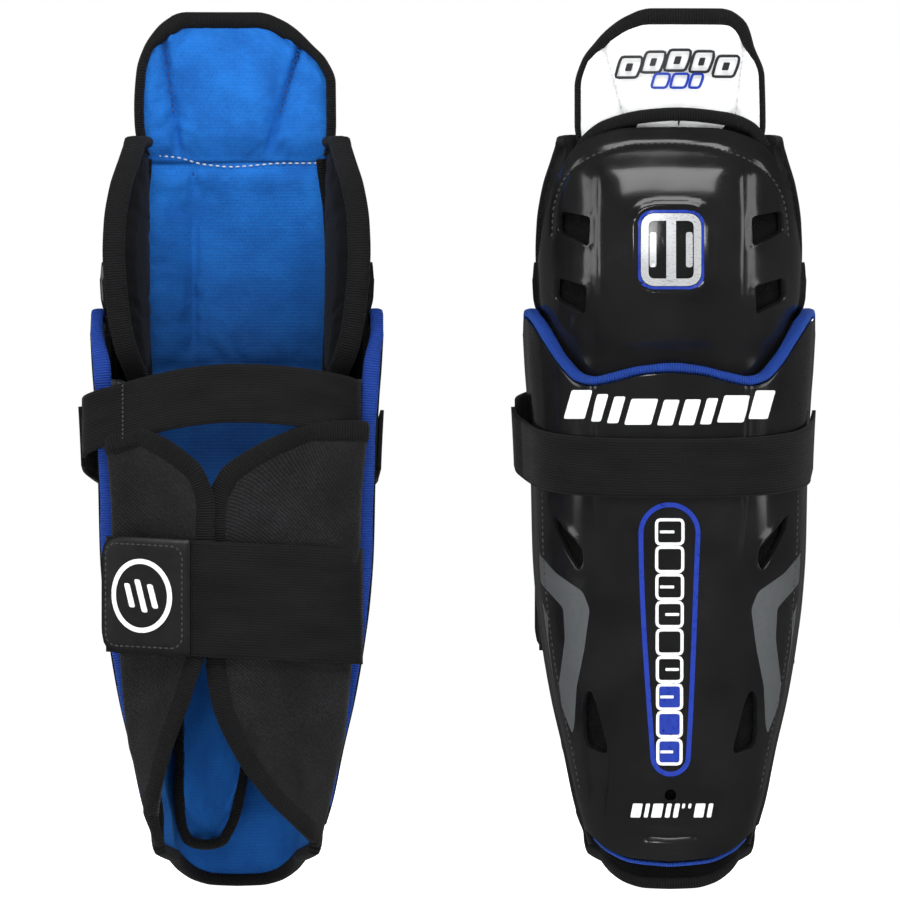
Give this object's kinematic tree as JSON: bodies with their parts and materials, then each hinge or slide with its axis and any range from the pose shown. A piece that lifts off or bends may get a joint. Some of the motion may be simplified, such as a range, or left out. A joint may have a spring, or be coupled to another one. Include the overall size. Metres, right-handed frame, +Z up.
{
  "type": "hockey shin guards",
  "caption": "Left and right hard-shell shin guards with knee caps, thigh flaps, blue liners, calf wraps and elastic straps, standing upright.",
  "frame": {"origin": "middle of the pair's box on the surface that both guards stand on", "axes": "+Z up along the legs; the right guard stands at +X with its front to -Y, the left guard at -X with its back to -Y"},
  "size_m": [0.3377, 0.1478, 0.4032],
  "materials": {
    "shell_plastic": "glossy",
    "foam": "matte",
    "black_foam": "matte",
    "blue_binding": "satin",
    "blue_mesh": "satin",
    "black_binding": "matte",
    "black_fabric": "matte",
    "elastic": "matte",
    "white_vinyl": "satin",
    "badge_plate": "glossy",
    "tab_rubber": "satin",
    "hook_tape": "matte",
    "emblem_print": "satin"
  },
  "bodies": {
    "right_shin": {"right_shin_shell": "shell_plastic", "right_shell_foam": "foam", "right_shell_binding": "blue_binding", "right_base_liner": "black_fabric", "right_ankle_rim": "black_fabric", "right_shin_liner": "blue_mesh", "right_shin_liner_binding": "black_binding", "right_wrap_anchors": "black_fabric", "right_upper_strap_front": "elastic"},
    "right_knee": {"right_knee_cap": "shell_plastic", "right_knee_badge": "badge_plate", "right_knee_foam": "black_foam", "right_knee_liner": "blue_mesh", "right_knee_liner_binding": "black_binding", "right_lateral_knee_wing": "black_fabric", "right_medial_knee_wing": "black_fabric", "right_thigh_gusset": "black_binding"},
    "right_thigh_flap": {"right_thigh_pad": "white_vinyl", "right_thigh_binding": "black_binding"},
    "right_lateral_wrap": {"right_lateral_wrap": "black_fabric", "right_lateral_wrap_binding": "black_binding"},
    "right_medial_wrap": {"right_medial_wrap": "black_fabric", "right_medial_wrap_binding": "black_binding"},
    "right_lower_strap": {"right_lower_strap": "elastic", "right_strap_tab": "tab_rubber", "right_tab_hook": "hook_tape", "right_tab_emblem": "emblem_print"},
    "right_upper_strap": {"right_upper_strap_back": "elastic", "right_upper_strap_tab": "elastic"},
    "left_shin": {"left_shin_shell": "shell_plastic", "left_shell_foam": "foam", "left_shell_binding": "blue_binding", "left_base_liner": "black_fabric", "left_ankle_rim": "black_fabric", "left_shin_liner": "blue_mesh", "left_shin_liner_binding": "black_binding", "left_wrap_anchors": "black_fabric", "left_upper_strap_front": "elastic"},
    "left_knee": {"left_knee_cap": "shell_plastic", "left_knee_badge": "badge_plate", "left_knee_foam": "black_foam", "left_knee_liner": "blue_mesh", "left_knee_liner_binding": "black_binding", "left_lateral_knee_wing": "black_fabric", "left_medial_knee_wing": "black_fabric", "left_thigh_gusset": "black_binding"},
    "left_thigh_flap": {"left_thigh_pad": "white_vinyl", "left_thigh_binding": "black_binding"},
    "left_lateral_wrap": {"left_lateral_wrap": "black_fabric", "left_lateral_wrap_binding": "black_binding"},
    "left_medial_wrap": {"left_medial_wrap": "black_fabric", "left_medial_wrap_binding": "black_binding"},
    "left_lower_strap": {"left_lower_strap": "elastic", "left_strap_tab": "tab_rubber", "left_tab_hook": "hook_tape", "left_tab_emblem": "emblem_print"},
    "left_upper_strap": {"left_upper_strap_back": "elastic", "left_upper_strap_tab": "elastic"}
  },
  "joints": [
    {"name": "right_knee_tilt", "type": "hinge", "parent": "right_shin", "child": "right_knee", "pos_m": [0.101, -0.02, 0.237], "axis": [-1, 0, 0], "range_deg": [-2.5, 16], "stiffness_Nm_per_rad": 6},
    {"name": "right_thigh_flap_fold", "type": "hinge", "parent": "right_knee", "child": "right_thigh_flap", "pos_m": [0.101, -0.0455, 0.3515], "axis": [1, 0, 0], "range_deg": [-20, 34], "stiffness_Nm_per_rad": 0.8},
    {"name": "right_medial_wrap_open", "type": "hinge", "parent": "right_shin", "child": "right_medial_wrap", "pos_m": [0.145, 0.011, 0.025], "axis": [-0.0599, -0.0707, -0.9957], "range_deg": [0, 80]},
    {"name": "right_lateral_wrap_open", "type": "hinge", "parent": "right_shin", "child": "right_lateral_wrap", "pos_m": [0.057, 0.011, 0.025], "axis": [-0.0599, 0.0707, 0.9957], "range_deg": [0, 80]},
    {"name": "right_lower_strap_peel", "type": "hinge", "parent": "right_medial_wrap", "child": "right_lower_strap", "pos_m": [0.1554, 0.0298, 0.1325], "axis": [0, 0, -1], "range_deg": [0, 60]},
    {"name": "right_upper_strap_peel", "type": "hinge", "parent": "right_shin", "child": "right_upper_strap", "pos_m": [0.167, 0.017, 0.209], "axis": [0, 0, -1], "range_deg": [0, 110]},
    {"name": "left_guard_lift", "type": "slide", "parent": "right_shin", "child": "left_shin", "axis": [0, 0, 1], "range_m": [0, 0.12]},
    {"name": "left_knee_tilt", "type": "hinge", "parent": "left_shin", "child": "left_knee", "pos_m": [-0.098, 0.02, 0.237], "axis": [1, 0, 0], "range_deg": [-2.5, 16], "stiffness_Nm_per_rad": 6},
    {"name": "left_thigh_flap_fold", "type": "hinge", "parent": "left_knee", "child": "left_thigh_flap", "pos_m": [-0.098, 0.0455, 0.3515], "axis": [-1, 0, 0], "range_deg": [-20, 34], "stiffness_Nm_per_rad": 0.8},
    {"name": "left_medial_wrap_open", "type": "hinge", "parent": "left_shin", "child": "left_medial_wrap", "pos_m": [-0.054, -0.011, 0.025], "axis": [0.0599, -0.0707, 0.9957], "range_deg": [0, 80]},
    {"name": "left_lateral_wrap_open", "type": "hinge", "parent": "left_shin", "child": "left_lateral_wrap", "pos_m": [-0.142, -0.011, 0.025], "axis": [0.0599, 0.0707, -0.9957], "range_deg": [0, 80]},
    {"name": "left_lower_strap_peel", "type": "hinge", "parent": "left_medial_wrap", "child": "left_lower_strap", "pos_m": [-0.0436, -0.0298, 0.1325], "axis": [0, 0, 1], "range_deg": [0, 60]},
    {"name": "left_upper_strap_peel", "type": "hinge", "parent": "left_shin", "child": "left_upper_strap", "pos_m": [-0.032, -0.017, 0.209], "axis": [0, 0, 1], "range_deg": [0, 110]}
  ],
  "couplings": [
    {"joint": "right_lateral_wrap_open", "follows": "right_medial_wrap_open", "ratio": 1},
    {"joint": "left_lateral_wrap_open", "follows": "left_medial_wrap_open", "ratio": 1}
  ]
}
